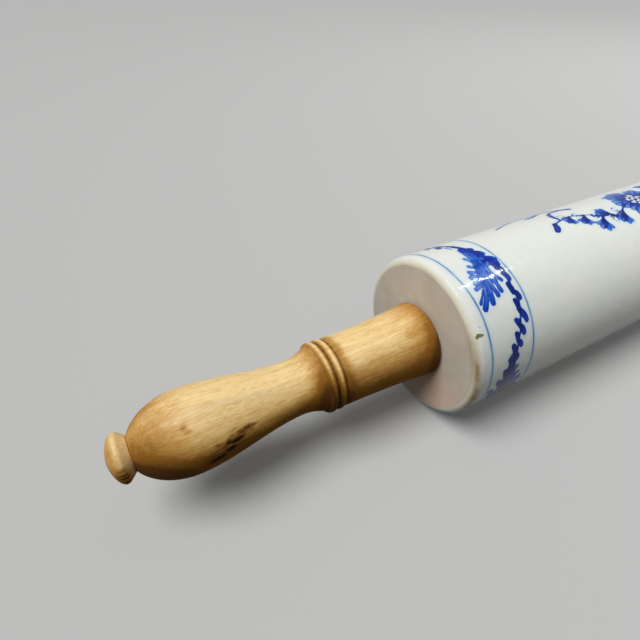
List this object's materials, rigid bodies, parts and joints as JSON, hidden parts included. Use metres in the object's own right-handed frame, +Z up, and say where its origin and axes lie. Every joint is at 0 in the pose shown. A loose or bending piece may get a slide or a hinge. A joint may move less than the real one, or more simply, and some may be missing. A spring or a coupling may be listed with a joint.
{
  "type": "rolling pin",
  "caption": "Rolling pin with a hollow glazed porcelain barrel that rolls on a wooden rod, turned wooden handles that spin on the rod and end buttons that keep them on.",
  "frame": {"origin": "on the surface that the barrel rests on, under the middle of the pin", "axes": "+X along the pin from the pictured (left) handle to the other one, +Z up"},
  "size_m": [0.4362, 0.06, 0.06],
  "materials": {
    "porcelain": "gloss",
    "rod_wood": "matte",
    "handle_wood": "satin",
    "button_wood": "satin"
  },
  "bodies": {
    "barrel": {"barrel": "porcelain"},
    "rod": {"rod": "rod_wood", "left_button": "button_wood", "right_button": "button_wood"},
    "left_handle": {"left_handle": "handle_wood"},
    "right_handle": {"right_handle": "handle_wood"}
  },
  "joints": [
    {"name": "rod_spin", "type": "hinge", "parent": "barrel", "child": "rod", "pos_m": [0, 0, 0.03], "axis": [1, 0, 0], "continuous": true},
    {"name": "left_handle_spin", "type": "hinge", "parent": "rod", "child": "left_handle", "pos_m": [-0.16, 0, 0.03], "axis": [1, 0, 0], "continuous": true},
    {"name": "right_handle_spin", "type": "hinge", "parent": "rod", "child": "right_handle", "pos_m": [0.16, 0, 0.03], "axis": [1, 0, 0], "continuous": true}
  ]
}
